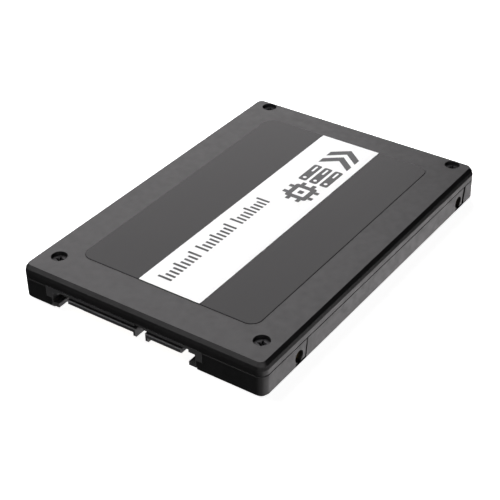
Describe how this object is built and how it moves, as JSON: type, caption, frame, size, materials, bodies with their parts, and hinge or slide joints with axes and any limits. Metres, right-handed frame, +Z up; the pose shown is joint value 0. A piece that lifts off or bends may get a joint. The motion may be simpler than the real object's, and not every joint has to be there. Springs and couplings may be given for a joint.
{
  "type": "solid state drive",
  "caption": "Flat dark 2.5 inch solid state drive with a screwed cover, a label recess, and a front plug with a power and a data tongue.",
  "frame": {"origin": "centre of the resting underside", "axes": "+X across the width, +Y along the length away from the connector, +Z up through the cover"},
  "size_m": [0.0698, 0.1, 0.0097],
  "materials": {
    "case_plastic": "fine textured, soft gloss",
    "screw_steel": "blackened",
    "nut_brass": "machined",
    "dark_label": "smooth printed film",
    "white_label": "smooth coated",
    "bottom_label": "smooth coated",
    "connector_plastic": "moulded",
    "contact_metal": "gold plated",
    "tab_metal": "tin plated",
    "board_laminate": "solder mask",
    "board_screw_steel": "plated",
    "chip_plastic": "moulded",
    "inductor_ferrite": "matt",
    "tantalum_resin": "moulded",
    "capacitor_ceramic": "sintered",
    "resistor_ceramic": "glazed",
    "fuse_ceramic": "glazed",
    "can_metal": "nickel plated"
  },
  "bodies": {
    "root": {"base_case": "case_plastic", "top_cover": "case_plastic", "cover_screws": "screw_steel", "mounting_nuts": "nut_brass", "dark_label": "dark_label", "white_label": "white_label", "bottom_label": "bottom_label", "connector_housing": "connector_plastic", "power_contacts": "contact_metal", "signal_contacts": "contact_metal", "connector_tabs": "tab_metal", "circuit_board": "board_laminate", "board_screws": "board_screw_steel", "controller_chip": "chip_plastic", "working_memory_chip": "chip_plastic", "flash_chip_1": "chip_plastic", "flash_chip_2": "chip_plastic", "flash_chip_3": "chip_plastic", "flash_chip_4": "chip_plastic", "flash_chip_5": "chip_plastic", "flash_chip_6": "chip_plastic", "flash_chip_7": "chip_plastic", "flash_chip_8": "chip_plastic", "firmware_chip": "chip_plastic", "power_chip": "chip_plastic", "regulator_chips": "chip_plastic", "power_inductors": "inductor_ferrite", "tantalum_capacitors": "tantalum_resin", "ceramic_capacitors": "capacitor_ceramic", "chip_resistors": "resistor_ceramic", "surge_fuse": "fuse_ceramic", "crystal_oscillator": "can_metal"}
  },
  "joints": []
}
